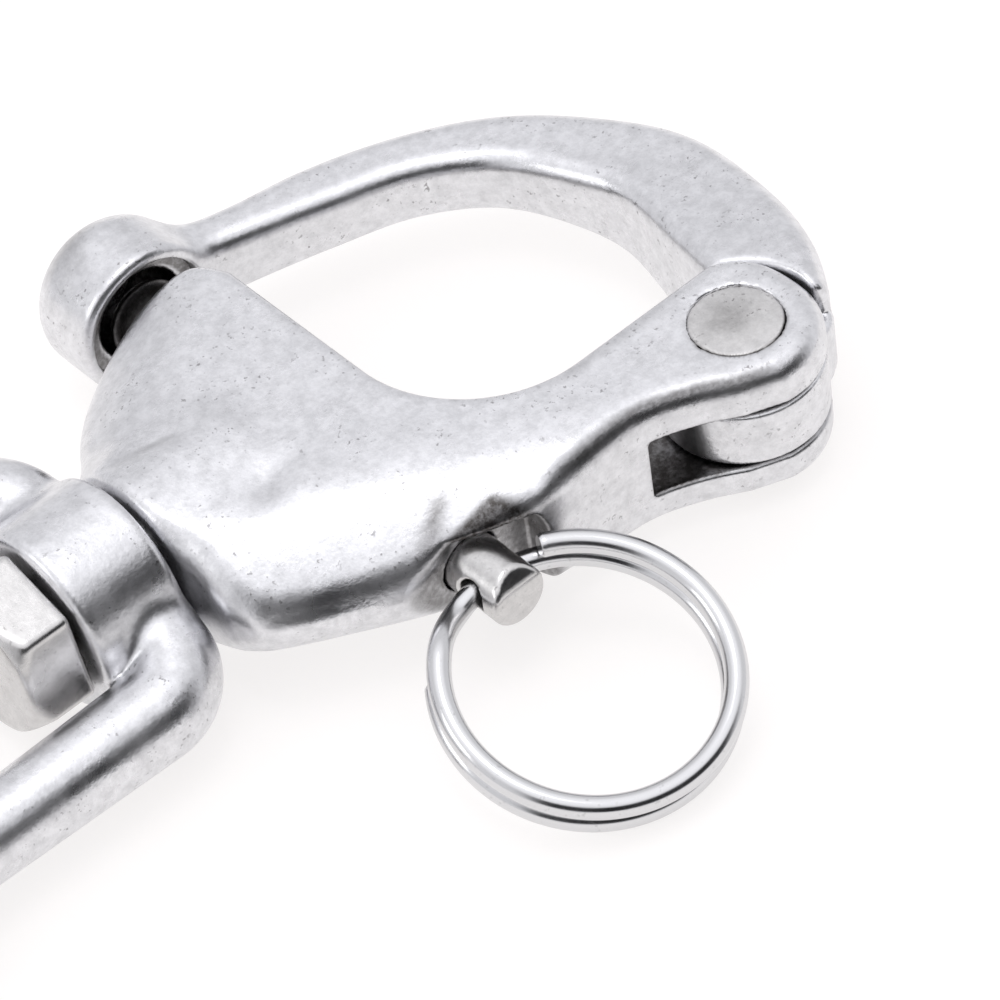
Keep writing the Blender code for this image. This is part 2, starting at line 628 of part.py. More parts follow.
def pin_profile():
    """Turned profile of the clevis pin as (radius, y): flat rounded head, shank, chamfered end."""
    head_y = -EAR_OUTER_Y - SIDE_GAP
    back_y = head_y - PIN_HEAD_LENGTH
    round_off = 0.6 * MM
    points = [(0.0, back_y), (PIN_HEAD_RADIUS - round_off, back_y), (PIN_HEAD_RADIUS, back_y + round_off)]
    points += [(PIN_HEAD_RADIUS, head_y), (PIN_RADIUS, head_y)]
    points += [(PIN_RADIUS, PIN_END_Y - round_off), (PIN_RADIUS - round_off, PIN_END_Y), (0.0, PIN_END_Y)]
    return points


def make_pin(parts, cutters, metal):
    pin = turned("clevis_pin", parts, pin_profile(), Matrix.Translation((PIN_X, 0, 0)))
    hole = along_x("pin_hole", parts, PIN_HOLE_RADIUS, -6 * MM, 6 * MM, sides=20)
    hole.data.transform(Matrix.Translation((PIN_X, PIN_HOLE_Y, 0)))
    boolean(pin, "DIFFERENCE", hole, cutters)
    finish_part(pin, metal, (PIN_X, 0, MID))
    return pin


def centre_on_floor(made):
    """Moves everything so that the origin is the middle of the bottom of the bounding box."""
    bpy.context.view_layer.update()
    graph = bpy.context.evaluated_depsgraph_get()
    corners = []
    for obj in made:
        shown = obj.evaluated_get(graph)
        corners += [shown.matrix_world @ vertex.co for vertex in shown.data.vertices]
    low = Vector([min(corner[k] for corner in corners) for k in range(3)])
    high = Vector([max(corner[k] for corner in corners) for k in range(3)])
    shift = Vector((-(low.x + high.x) / 2, -(low.y + high.y) / 2, -low.z))
    for obj in bpy.data.objects:
        obj.matrix_world = Matrix.Translation(shift) @ obj.matrix_world
    print("moved by", [round(value, 6) for value in shift])
    print("size", [round(value, 5) for value in high - low])


def main():
    clear_scene()
    parts = new_collection("snap_shackle")
    cutters = new_collection("cutters", hidden=True)
    cast = new_metal("cast_steel", (0.78, 0.78, 0.79), 0.34)
    turned_metal = new_metal("turned_steel", (0.70, 0.70, 0.71), 0.25)
    wire = new_metal("wire_steel", (0.74, 0.74, 0.75), 0.18)
    ring_hole = Vector((0, RING_HOLE_Y, MID))
    pull_ring = make_ring(
        "pull_ring", parts, wire, PULL_RING, ring_hole, KNOB_RADIUS, PULL_RING_TILT, -PULL_RING_YAW
    )
    made = [
        make_body(parts, cutters, cast),
        make_rivet(parts, cutters, turned_metal),
        make_bail(parts, cutters, cast),
        make_plunger(parts, cutters, turned_metal),
        make_spring(parts, wire),
        pull_ring,
        make_bolt(parts, cutters, turned_metal),
    ]
    fixed = set(bpy.data.objects)
    made += [make_fork(parts, cutters, cast), make_pin(parts, cutters, turned_metal)]
    forked = [obj for obj in bpy.data.objects if obj not in fixed]
    bpy.context.view_layer.update()
    for obj in forked:
        obj.matrix_world = Matrix.Translation((0, SWIVEL_Y, 0)) @ obj.matrix_world
    turn_about_swivel(forked, FORK_TURN)
    turn = math.radians(FORK_TURN)
    pin_hole = Vector((PIN_X, SWIVEL_Y + PIN_HOLE_Y * math.cos(turn), MID + PIN_HOLE_Y * math.sin(turn)))
    clevis_ring = make_ring(
        "clevis_ring", parts, wire, CLEVIS_RING, pin_hole, PIN_RADIUS, CLEVIS_RING_TILT, 180
    )
    made.append(clevis_ring)
    centre_on_floor(made)


main()
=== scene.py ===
"""A swivel snap shackle lying on a pale floor: cast, turned and wire pieces of satin stainless steel.

Pieces are shaped in millimetres from the point where the plunger and the swivel cross, X towards the
bail, Y towards the bail's nose and Z up from the body's middle plane. Cast and turned pieces are solids
given by a distance function, meshed on a fine grid. The two rings are swept wire, and the spring keeps
its CAD shape.
"""

import math

import bpy
import numpy as np
from mathutils import Matrix, Vector


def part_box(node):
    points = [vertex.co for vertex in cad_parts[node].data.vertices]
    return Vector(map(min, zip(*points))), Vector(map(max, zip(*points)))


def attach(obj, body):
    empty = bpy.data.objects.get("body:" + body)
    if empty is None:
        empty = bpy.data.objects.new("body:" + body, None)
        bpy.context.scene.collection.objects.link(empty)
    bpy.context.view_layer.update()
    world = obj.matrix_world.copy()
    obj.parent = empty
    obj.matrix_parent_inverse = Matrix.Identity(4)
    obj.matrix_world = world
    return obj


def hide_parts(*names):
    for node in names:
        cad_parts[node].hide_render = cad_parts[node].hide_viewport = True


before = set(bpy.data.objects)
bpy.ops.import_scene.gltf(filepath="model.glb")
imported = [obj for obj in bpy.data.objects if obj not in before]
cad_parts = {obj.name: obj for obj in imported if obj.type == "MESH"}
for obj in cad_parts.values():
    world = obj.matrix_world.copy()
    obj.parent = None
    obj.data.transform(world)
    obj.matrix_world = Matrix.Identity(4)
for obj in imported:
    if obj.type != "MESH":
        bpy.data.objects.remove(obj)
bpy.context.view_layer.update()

MM = 0.001
PIVOT = (24.2, -17.6)
low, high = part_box("pivot_rivet")
ORIGIN = (low + high) / 2 - Vector((PIVOT[0], PIVOT[1], 0.0)) * MM

# Sizes in millimetres

HALF_THICKNESS = 5.85  # of the body's plate
PILLOW_TOP = 7.02  # what the lobe's sloping sides would rise to, if the plate's top didn't cap them
LOBE_END_X = -15.1  # the body's face towards the fork
BOSS_RADIUS = 6.1  # of the body's boss and of the bail's eye
SLOT_END_X = 14.0
SLOT_HALF = 2.6
NOTCH_RADIUS = 5.1  # round the knob
PLUNGER_BORE, KNOB_BORE, BOLT_BORE = 3.22, 2.37, 3.12
RIVET_RADIUS, RIVET_HEAD_RADIUS = 2.4, 3.4

EYE_HALF = 2.35
EYE_BORE = 2.5
BOW_CLEARANCE = 6.3  # radius round the pivot that the bow leaves to the boss
BOW_END_Y = -19.2
NOSE_FACE_Y = 18.0
NOSE_RADIUS = 5.9
NOSE_RECESS_RADIUS = 4.9
NOSE_SOCKET_RADIUS = 3.6

SWIVEL_Y = 1.2
FORK_TURN, BOLT_TURN = 12, 17  # degrees about the swivel axis
EAR_X = -45.0
EAR_RADIUS = 4.4
ARM_Y = 10.7
JAW_HALF = 7.95
HUB_RADIUS = 7.1
HEX_HALF = 5.6  # half the bolt head's width across flats

PLUNGER_RADIUS, KNOB_RADIUS = 3.1, 2.25
DOME_CENTRE_Y, DOME_RADIUS = 15.4, 4.6
PULL_HOLE_Y, CLEVIS_HOLE_Y = -18.75, 16.0
PULL_RING = (9.95, 1.7, KNOB_RADIUS)  # mean radius, wire diameter, half the length of the hole
CLEVIS_RING = (7.4, 1.25, 2.5)


# Distance functions


def inside_both(a, b, radius):
    """Intersection of two distances, its edge rounded."""
    over = np.hypot(np.maximum(a + radius, 0), np.maximum(b + radius, 0))
    return np.minimum(np.maximum(a, b), -radius) + over


def cut(a, b, radius):
    """a less b, the new edge rounded."""
    return inside_both(a, -b, radius)


def blend(a, b, width):
    """Union of two distances with a soft fillet: their minimum, smoothed over width."""
    share = np.clip(0.5 + 0.5 * (b - a) / width, 0, 1)
    return b + (a - b) * share - width * share * (1 - share)


def smooth_step(low_end, high_end, value):
    """From nought at low_end to one at high_end, level at both."""
    t = np.clip((value - low_end) / (high_end - low_end), 0, 1)
    return t * t * (3 - 2 * t)


def bump(x, y, centre, along, half_length, half_width):
    """A soft elongated hill of height one, its long side turned to the angle along."""
    turn = math.radians(along)
    u = (x - centre[0]) * math.cos(turn) + (y - centre[1]) * math.sin(turn)
    v = -(x - centre[0]) * math.sin(turn) + (y - centre[1]) * math.cos(turn)
    return np.exp(-((u / half_length) ** 2) - (v / half_width) ** 2)


def below_rivet(x, y):
    """Position across a rivet head, in head radii; the hair crack is on the negative side."""
    return (y + 0.45 * x) / RIVET_HEAD_RADIUS


def arc(centre, radius, start, end, steps):
    angles = np.radians(np.linspace(start, end, steps + 1))
    return [(centre[0] + radius * math.cos(a), centre[1] + radius * math.sin(a)) for a in angles]


def smooth_line(points, steps):
    """A Catmull-Rom curve through points, ends included."""
    padded = np.array([points[0], *points, points[-1]], float)
    found = []
    for i in range(1, len(padded) - 2):
        a, b, c, d = padded[i - 1 : i + 3]
        square, cube = 2 * a - 5 * b + 4 * c - d, 3 * b - a - 3 * c + d
        for t in np.arange(steps) / steps:
            found.append(0.5 * (2 * b + (c - a) * t + square * t**2 + cube * t**3))
    return [*found, padded[-1]]


def outline_distance(x, y, points):
    """Signed distance in plan from a closed outline, negative inside."""
    points = np.array(points, float)
    best = np.full(x.shape, 1e9)
    inside = np.zeros(x.shape, bool)
    for (ax, ay), (bx, by) in zip(points, np.roll(points, -1, axis=0)):
        ex, ey = bx - ax, by - ay
        share = np.clip(((x - ax) * ex + (y - ay) * ey) / (ex * ex + ey * ey), 0, 1)
        best = np.minimum(best, np.hypot(x - ax - share * ex, y - ay - share * ey))
        if ay != by:
            crosses = (y < max(ay, by)) & (y >= min(ay, by)) & (x < ax + ex * (y - ay) / ey)
            inside ^= crosses
    return np.where(inside, -best, best)


def path_distance(x, y, points, sizes):
    """Plan distance from an open path, the side of it, and the sizes at its nearest point."""
    best = np.full(x.shape, 1e9)
    found = [np.zeros(x.shape) for _ in sizes[0]]
    side = np.zeros(x.shape)
    for (ax, ay), (bx, by), first, second in zip(points, points[1:], sizes, sizes[1:]):
        ex, ey = bx - ax, by - ay
        share = np.clip(((x - ax) * ex + (y - ay) * ey) / (ex * ex + ey * ey), 0, 1)
        away = np.hypot(x - ax - share * ex, y - ay - share * ey)
        nearer = away < best
        best = np.where(nearer, away, best)
        side = np.where(nearer, np.sign((x - ax) * ey - (y - ay) * ex), side)
        found = [np.where(nearer, p + (q - p) * share, old) for p, q, old in zip(first, second, found)]
    return best, side, found


# Meshing


def surface_net(function, low_corner, high_corner, step):
    """Vertices and quads of the zero surface of function, on a grid of the given step."""
    counts = [int(math.ceil((h - l) / step)) + 1 for l, h in zip(low_corner, high_corner)]
    axes = [l + step * np.arange(n) for l, n in zip(low_corner, counts)]
    x, y, z = axes[0][:, None, None], axes[1][None, :, None], axes[2][None, None, :]
    field = np.asarray(function(x, y, z), np.float64)
    field = np.where(field == 0, 1e-9, field)
    solid = field < 0
    shape = np.array(field.shape) - 1
    corner_index = [(i, j, k) for i in (0, 1) for j in (0, 1) for k in (0, 1)]

    def corner(array, i, j, k):
        return array[i : i + shape[0], j : j + shape[1], k : k + shape[2]]

    filled = sum(corner(solid, *c).astype(np.int8) for c in corner_index)
    mixed = (filled > 0) & (filled < 8)
    cells = np.argwhere(mixed)
    number = np.full(shape, -1, np.int64)
    number[mixed] = np.arange(len(cells))
    total = np.zeros((len(cells), 3))
    crossings = np.zeros(len(cells))
    for c in corner_index:
        for axis in range(3):
            if c[axis]:
                continue
            d = list(c)
            d[axis] = 1
            first = field[tuple((cells + c).T)]
            second = field[tuple((cells + d).T)]
            change = (first < 0) != (second < 0)
            share = np.where(change, first / np.where(change, first - second, 1), 0)
            place = np.array(c, float) * np.ones((len(cells), 1))
            place[:, axis] = share
            total += np.where(change[:, None], place, 0)
            crossings += change
    vertices = (cells + total / crossings[:, None]) * step + np.array(low_corner)
    quads = []
    for axis in range(3):
        u, v = (axis + 1) % 3, (axis + 2) % 3
        size = list(field.shape)
        size[axis] -= 1
        here = solid[tuple(slice(0, n) for n in size)]
        ahead_slice = [slice(0, n) for n in size]
        ahead_slice[axis] = slice(1, field.shape[axis])
        ahead = solid[tuple(ahead_slice)]
        edges = np.argwhere(here != ahead)
        inner = (edges[:, u] > 0) & (edges[:, v] > 0)
        edges = edges[inner & (edges[:, u] < shape[u]) & (edges[:, v] < shape[v])]
        outward = here[tuple(edges.T)]
        ring = []
        for du, dv in ((0, 0), (-1, 0), (-1, -1), (0, -1)):
            cell = edges.copy()
            cell[:, u] += du
            cell[:, v] += dv
            ring.append(number[tuple(cell.T)])
        quad = np.stack(ring, axis=1)
        quads.append(np.where(outward[:, None], quad, quad[:, ::-1]))
    return vertices, np.concatenate(quads)


def piece(name, vertices, faces, body, slot, material, replaces, place=Matrix.Identity(4), shade=None):
    """A mesh in millimetres as a smooth-shaded piece that rides body and stands for a CAD node.

    shade gives how dark the steel is at each vertex, from nought to one: mostly painted shade and painted
    dark reflection.
    """
    mesh = bpy.data.meshes.new(name)
    mesh.vertices.add(len(vertices))
    mesh.vertices.foreach_set("co", (np.asarray(vertices) * MM).astype(np.float32).ravel())
    sizes = np.array([len(face) for face in faces]) if isinstance(faces, list) else np.full(len(faces), 4)
    loops = np.concatenate([np.asarray(face) for face in faces]) if isinstance(faces, list) else faces.ravel()
    mesh.loops.add(len(loops))
    mesh.loops.foreach_set("vertex_index", loops.astype(np.int32))
    mesh.polygons.add(len(sizes))
    mesh.polygons.foreach_set("loop_start", np.concatenate([[0], np.cumsum(sizes)[:-1]]).astype(np.int32))
    mesh.polygons.foreach_set("loop_total", sizes.astype(np.int32))
    mesh.update(calc_edges=True)
    mesh.validate()
    if shade is not None:
        layer = mesh.attributes.new("shade", "FLOAT", "POINT")
        layer.data.foreach_set("value", shade(*np.asarray(vertices, float).T).astype(np.float32))
    mesh.transform(Matrix.Translation(ORIGIN) @ place)
    mesh.shade_smooth()
    mesh.set_sharp_from_angle(angle=math.radians(50))
    mesh.materials.append(material)
    obj = bpy.data.objects.new(name, mesh)
    bpy.context.scene.collection.objects.link(obj)
    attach(obj, body)
    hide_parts(replaces)


def solid_piece(name, function, low_corner, high_corner, step, body, slot, material, **options):
    vertices, quads = surface_net(function, low_corner, high_corner, step)
    piece(name, vertices, quads, body, slot, material, name.replace("_skin", ""), **options)


# Body


def body_outline():
    """The plate's edge in plan, from the boss round the mouth, the lobe, the front and the arm."""
    boss = arc(PIVOT, BOSS_RADIUS, -100, 65, 40)
    mouth = arc((14.3, -1.8), 10.3, 270, 180, 40)
    lobe = [(4.0, 12.6), (2.6, 15.2), (0.0, 16.1), (-3.6, 15.7), (-7.9, 13.9), (-11.4, 11.3), (-13.8, 8.2)]
    lobe = smooth_line([*lobe, (LOBE_END_X, 5.0)], 8)
    front = [(-14.2, -11.2), (-11.8, -13.1), (-9.0, -14.6), (-6.0, -16.1), (-3.0, -17.3)]
    front = smooth_line([(LOBE_END_X, -8.8), *front], 8)
    arm = [(0.0, -18.2), (4.0, -18.9), (8.0, -19.2), (13.5, -19.3), (17.2, -20.6), (20.2, -22.4)]
    arm = smooth_line([(-3.0, -17.3), *arm], 8)
    return [*boss, *mouth, *lobe, *front, *arm[1:]]


def pillow_height(x, y, direction, rim, rim_half, reach):
    """Half thickness that rises from rim_half at the rim to more than the plate's."""
    turn = math.radians(direction)
    share = np.clip((rim - x * math.cos(turn) - y * math.sin(turn)) / reach, 0, 1)
    return rim_half + (PILLOW_TOP - rim_half) * (1 - (1 - share) ** 2)


def body_distance(x, y, z):
    plan_x, plan_y = np.broadcast_arrays(x[:, :, 0], y[:, :, 0])
    rim = outline_distance(plan_x, plan_y, body_outline())
    height = blend(HALF_THICKNESS, pillow_height(plan_x, plan_y, -121, 17.0, 1.75, 13.0), 0.9)
    height = blend(height, pillow_height(plan_x, plan_y, 127, 15.9, 2.6, 11.0), 0.9)
    # A shallow oval dimple and a short groove in the lobe's top
    height = height - 0.45 * bump(plan_x, plan_y, (-7.6, -4.8), 20, 2.4, 1.5)
    height = height - 0.38 * bump(plan_x, plan_y, (-11.2, 3.3), -14, 3.0, 0.7)
    towards_front = -plan_x * 0.515 - plan_y * 0.857
    by_arm = smooth_step(-13.5, -17.5, plan_y) * smooth_step(4, 8, plan_x)
    by_front = smooth_step(8, 12, towards_front) * smooth_step(6, 2, plan_x)
    radius = np.minimum(0.85 + np.maximum(by_arm, by_front), height - 0.1)
    rim, height, radius = rim[:, :, None], height[:, :, None], radius[:, :, None]
    plate = inside_both(rim, np.abs(z) - height, radius)
    # The tapering bulge round the swivel bolt
    about_swivel = np.hypot(y - SWIVEL_Y, z)
    bulge = about_swivel - (6.3 - 0.057 * (x - LOBE_END_X))
    bulge = inside_both(bulge, LOBE_END_X - x, 0.7)
    bulge = inside_both(bulge, x + 4.0, 3.0)
    shape = blend(plate, bulge, 1.6)
    slot = np.maximum(SLOT_END_X - x, np.abs(z) - SLOT_HALF)
    shape = cut(shape, slot, 0.22)
    # The recess round the knob, open below and under the crest
    about_plunger = np.hypot(x, z)
    below = np.maximum(np.abs(x) - NOTCH_RADIUS, z)
    notch = np.maximum(np.minimum(about_plunger - NOTCH_RADIUS, below), y + 16.4)
    shape = cut(shape, np.maximum(notch, z - 2.95), 0.45)
    shape = cut(shape, np.maximum(about_plunger - PLUNGER_BORE, -12.0 - y), 0.2)
    shape = cut(shape, np.maximum(about_plunger - KNOB_BORE, y), 0.15)
    shape = cut(shape, np.maximum(about_swivel - BOLT_BORE, x + 5.0), 0.2)
    # The rivet's head fills its hole on one side and leaves a hair crack on the other
    from_pivot_x, from_pivot_y = x - PIVOT[0], y - PIVOT[1]
    about_pivot = np.hypot(from_pivot_x, from_pivot_y)
    head_hole = 3.385 + 0.085 * smooth_step(0.2, -0.5, below_rivet(from_pivot_x, from_pivot_y))
    shape = cut(shape, np.maximum(about_pivot - head_hole, 4.63 - np.abs(z)), 0.1)
    return np.maximum(shape, 2.52 - about_pivot)


def body_shade(x, y, z):
    """Painted shade in the slot, the knob's recess, the lobe's groove and the rivet's hair crack; painted
    dark reflection along the arm's edge and in a patch near the front edge.
    """
    rim = outline_distance(x, y, body_outline())
    # Painted shade inside the slot, fading in from its lip
    lip = 0.3 + 2.2 * smooth_step(18.0, 22.5, x)
    slot_shade = smooth_step(13.7, 14.1, x) * smooth_step(2.85, 2.65, np.abs(z))
    slot_shade = slot_shade * smooth_step(0.6, -0.8, rim / lip)
    about_plunger = np.hypot(x, z)
    # Painted shade in the knob's recess and on the wall beside the knob
    recess_shade = smooth_step(5.9, 4.9, about_plunger) * smooth_step(-16.0, -16.6, y)
    knob_side_shade = 0.75 * smooth_step(6.6, 5.0, x) * smooth_step(2.0, 4.0, x)
    knob_side_shade = knob_side_shade * smooth_step(4.4, 2.6, z) * smooth_step(-0.1, -0.5, rim - 0.4)
    recess_shade = np.maximum(recess_shade, knob_side_shade)
    # Painted dark reflection in a band along the arm's front edge
    edge_reflection = np.exp(-(((rim + 0.75) / 0.5) ** 2)) * smooth_step(3.2, 4.6, z)
    edge_reflection = edge_reflection * smooth_step(5.0, 9.0, x) * smooth_step(25.5, 20.5, x) * smooth_step(-12.0, -15.0, y)
    # Painted dark reflection in a patch near the front edge
    reflection_patch = bump(x, y, (-1.6, -15.0), 27, 2.6, 0.7) * smooth_step(2.0, 3.0, z)
    # Painted shade in the lobe's groove
    dent_shade = 0.3 * bump(x, y, (-11.2, 3.3), -14, 2.3, 0.5) * smooth_step(2.0, 3.0, z)
    # Painted shade in the hair crack round the rivet's head
    from_pivot_x, from_pivot_y = x - PIVOT[0], y - PIVOT[1]
    about_pivot = np.hypot(from_pivot_x, from_pivot_y)
    crack_side = smooth_step(0.05, -0.55, below_rivet(from_pivot_x, from_pivot_y))
    crack_shade = np.exp(-(((about_pivot - 3.47) / 0.12) ** 2)) * crack_side * smooth_step(4.4, 5.0, z)
    reflection_and_shade_spots = np.maximum(np.maximum(0.7 * reflection_patch, dent_shade), 0.9 * crack_shade)
    return np.maximum(np.maximum(0.95 * slot_shade, recess_shade), np.maximum(0.75 * edge_reflection, reflection_and_shade_spots))


# Bail

# Along the bow, from the nose to the pivot: x, y, half width and half height
BOW_STATIONS = (
    (1.5, 21.4, 2.4, 3.2),
    (7.9, 19.5, 2.05, 2.9),
    (15.4, 17.75, 2.5, 2.75),
    (22.2, 15.3, 2.5, 2.75),
    (27.7, 11.35, 2.85, 2.85),
    (31.25, 5.8, 3.5, 3.1),
    (33.1, -0.45, 4.0, 3.7),
    (32.1, -7.9, 4.3, 4.5),
    (30.6, -13.3, 4.0, 5.2),
    (28.9, -17.6, 3.15, 5.4),
)


def bail_distance(x, y, z):
    plan_x, plan_y = np.broadcast_arrays(x[:, :, 0], y[:, :, 0])
    stations = smooth_line(BOW_STATIONS, 12)
    points = [(s[0], s[1]) for s in stations]
    sizes = [(s[2], s[3]) for s in stations]
    away, side, (half_width, half_height) = path_distance(plan_x, plan_y, points, sizes)
    radius = np.where(side < 0, 2.0, 1.5)
    radius = np.minimum(radius, np.minimum(half_width, half_height) - 0.2)
    away, half_height, radius = (away - half_width)[:, :, None], half_height[:, :, None], radius[:, :, None]
    bow = inside_both(away, np.abs(z) - half_height, radius)
    about_pivot = np.hypot(x - PIVOT[0], y - PIVOT[1])
    # Above and below the eye, the bow stays clear of the boss and ends beside the pivot
    gone = blend(about_pivot - BOW_CLEARANCE, y - BOW_END_Y, 1.2)
    bow = cut(bow, np.maximum(gone, EYE_HALF - np.abs(z)), 0.5)
    eye = inside_both(about_pivot - BOSS_RADIUS, np.abs(z) - EYE_HALF, 0.35)
    shape = blend(bow, eye, 0.5)
    shape = cut(shape, about_pivot - EYE_BORE, 0.2)
    # The nose: a domed barrel, with a shallow recess in its face and the plunger's socket in that
    about_plunger = np.hypot(x, z)
    dome = (np.hypot(about_plunger / NOSE_RADIUS, np.maximum(y - 22.3, 0) / 4.0) - 1) * 4.6
    barrel = inside_both(dome, NOSE_FACE_Y - y, 0.6)
    shape = blend(shape, barrel, 1.5)
    shape = cut(shape, np.maximum(about_plunger - NOSE_RECESS_RADIUS, y - 19.0), 0.3)
    return cut(shape, np.maximum(about_plunger - NOSE_SOCKET_RADIUS, y - 24.5), 0.25)


def bail_shade(x, y, z):
    """Painted shade inside the nose's recess and socket, and a tumbled blotch on the nose."""
    about = np.hypot(x, z)
    # Painted shade in the socket, and on the recess's wall and floor but for a thin ring at the socket's edge
    near_nose = smooth_step(17.9, 18.15, y) * smooth_step(25.0, 24.0, y)
    socket_shade = smooth_step(3.75, 3.6, about) * near_nose
    recess_shade = 0.85 * smooth_step(5.0, 4.85, about) * smooth_step(3.85, 4.05, about)
    recess_shade = recess_shade * near_nose * smooth_step(19.4, 19.1, y)
    blotch = 0.35 * bump(x, y, (-2.0, 23.5), 40, 3.2, 1.6) * smooth_step(2.5, 4.0, z)
    return np.maximum(np.maximum(socket_shade, recess_shade), blotch)


# Fork, about its own axis: its arms run along x, one on each side in y


def fork_distance(x, y, z):
    plan_x, plan_y = np.broadcast_arrays(x[:, :, 0], y[:, :, 0])
    corner = arc((-22.6, 6.9), 3.8, 90, 0, 16)
    half = [(EAR_X, ARM_Y), (-30.0, ARM_Y), *corner, (-18.8, 2.5)]
    radii = [2.85, 3.15, *[3.3] * len(corner), 3.3]
    points = half + [(px, -py) for px, py in reversed(half)]
    sizes = [(r,) for r in radii + radii[::-1]]
    away, _, (radius,) = path_distance(plan_x, plan_y, points, sizes)
    bar = np.hypot(away[:, :, None], z) - radius[:, :, None]
    about_swivel = np.hypot(y, z)
    hub = inside_both(about_swivel - HUB_RADIUS, np.abs(x + 19.8) - 3.8, 0.75)
    shape = blend(bar, hub, 1.1)
    about_pin = np.hypot(x - EAR_X, z)
    ear = inside_both(about_pin - EAR_RADIUS, np.maximum(7.9 - np.abs(y), np.abs(y) - 13.65), 0.5)
    shape = blend(shape, ear, 1.0)
    jaw = np.maximum(np.maximum(np.abs(x - EAR_X) - 5.4, np.abs(y) - JAW_HALF), np.abs(z) - 9)
    shape = cut(shape, jaw, 0.25)
    shape = cut(shape, about_pin - 2.6, 0.2)
    return cut(shape, about_swivel - 3.15, 0.25)


# Bolt, plunger, rivet and clevis pin


def bolt_distance(x, y, z):
    """The hexagon's corners lie at y = 0 and every sixty degrees."""
    about = np.hypot(y, z)
    hexagon = np.abs(z)
    for turn in (60, 120):
        angle = math.radians(turn)
        across = np.abs(z * math.cos(angle) + y * math.sin(angle))
        hexagon = inside_both(hexagon - HEX_HALF, across - HEX_HALF, 0.35) + HEX_HALF
    head = inside_both(hexagon - HEX_HALF, np.abs(x + 26.4) - 2.45, 0.45)
    # The chamfer round the head's outer face
    head = inside_both(head, (about - 5.35 - 0.9 * (x + 28.85)) / 1.35, 0.3)
    shank = np.maximum(about - 3.0, np.maximum(-25.0 - x, x + 5.3))
    return np.minimum(head, shank)


def plunger_distance(x, y, z):
    """A shaft with a domed tip, and the knob with its sloping facet and the ring's hole."""
    about = np.hypot(x, z)
    knob = inside_both(about - KNOB_RADIUS, np.maximum(-21.4 - y, y - 5.0), 0.4)
    shaft = inside_both(about - PLUNGER_RADIUS, 4.0 - y, 0.25)
    dome = np.sqrt(x * x + (y - DOME_CENTRE_Y) ** 2 + z * z) - DOME_RADIUS
    shaft = np.where(y > DOME_CENTRE_Y, inside_both(shaft, dome, 0.3), shaft)
    shape = np.minimum(knob, shaft)
    slope = math.radians(52)
    facet = (20.5 + y) * -math.sin(slope) + (z - KNOB_RADIUS) * math.cos(slope)
    shape = inside_both(shape, facet, 0.25)
    return cut(shape, np.hypot(y - PULL_HOLE_Y, z) - 1.2, 0.2)


def plunger_shade(x, y, z):
    """Painted shade where the shaft bridges the gap between the body and the nose."""
    return 0.85 * smooth_step(14.0, 15.5, y)


def pin_distance(x, y, z):
    """Along y, head at the negative end."""
    about = np.hypot(x, z)
    head = inside_both(about - 3.5, np.maximum(-15.75 - y, y + 13.95), 0.6)
    shank = inside_both(about - 2.5, np.maximum(-14.5 - y, y - 18.4), 0.6)
    shape = np.minimum(head, shank)
    return cut(shape, np.hypot(y - CLEVIS_HOLE_Y, z) - 1.1, 0.2)


def rivet_distance(x, y, z):
    """A shank with a slightly crowned head at each end."""
    about = np.hypot(x, y)
    shank = np.maximum(about - RIVET_RADIUS, np.abs(z) - 5.0)
    crown = HALF_THICKNESS - 0.012 * about**2
    head = inside_both(about - RIVET_HEAD_RADIUS, np.maximum(np.abs(z) - crown, 4.75 - np.abs(z)), 0.09)
    return np.minimum(shank, head)


def rivet_shade(x, y, z):
    """Brown-grey towards the middle of each hammered head, and painted shade in the crack on one side."""
    about = np.hypot(x, y)
    crack_shade = smooth_step(3.22, 3.36, about) * smooth_step(0.05, -0.55, below_rivet(x, y))
    return np.maximum(0.42 * np.exp(-(np.hypot(x + 0.2, y - 0.4) / 1.7) ** 2), crack_shade)


# Wire


def swept(points, radius, sides=28):
    """Vertices and faces of a round wire along points, slightly narrowed at its cut ends."""
    points = np.array(points, float)
    tangents = np.gradient(points, axis=0)
    tangents /= np.linalg.norm(tangents, axis=1)[:, None]
    normal = np.cross(tangents[0], (0.0, 0.0, 1.0))
    rings, normals = [], []
    for tangent in tangents:
        normal = normal - tangent * np.dot(normal, tangent)
        normal /= np.linalg.norm(normal)
        normals.append(normal)
    angles = 2 * math.pi * np.arange(sides) / sides
    for index in range(len(points)):
        share = 0.86 if index in (0, len(points) - 1) else 1.0
        side = np.cross(tangents[index], normals[index])
        ring = np.cos(angles)[:, None] * normals[index] + np.sin(angles)[:, None] * side
        rings.append(points[index] + ring * radius * share)
    vertices = np.concatenate(rings)
    faces = []
    for i in range(len(rings) - 1):
        for k in range(sides):
            j = (k + 1) % sides
            faces.append([i * sides + k, i * sides + j, (i + 1) * sides + j, (i + 1) * sides + k])
    faces.append(list(range(sides - 1, -1, -1)))
    last = (len(rings) - 1) * sides
    faces.append([last + k for k in range(sides)])
    return vertices, faces


def ring_points(mean_radius, wire, half_hole):
    """Nearly two turns of wire from the hole round, the upper one stepping down to the lower."""
    step = wire + 0.12
    start = math.degrees(math.asin((half_hole + 0.6 * wire) / mean_radius))
    angles = np.linspace(start, 720 - start - 36, 520)
    turn = np.radians(angles)
    share = np.clip((angles - (360 - start)) / 30 + 1, 0, 1)
    height = step * (1 - share * share * (3 - 2 * share))
    sag = mean_radius * (1 - math.cos(math.asin(half_hole / mean_radius))) / 2
    return np.stack([mean_radius * np.sin(turn), mean_radius * (np.cos(turn) - 1) + sag, height], axis=1)


# Materials


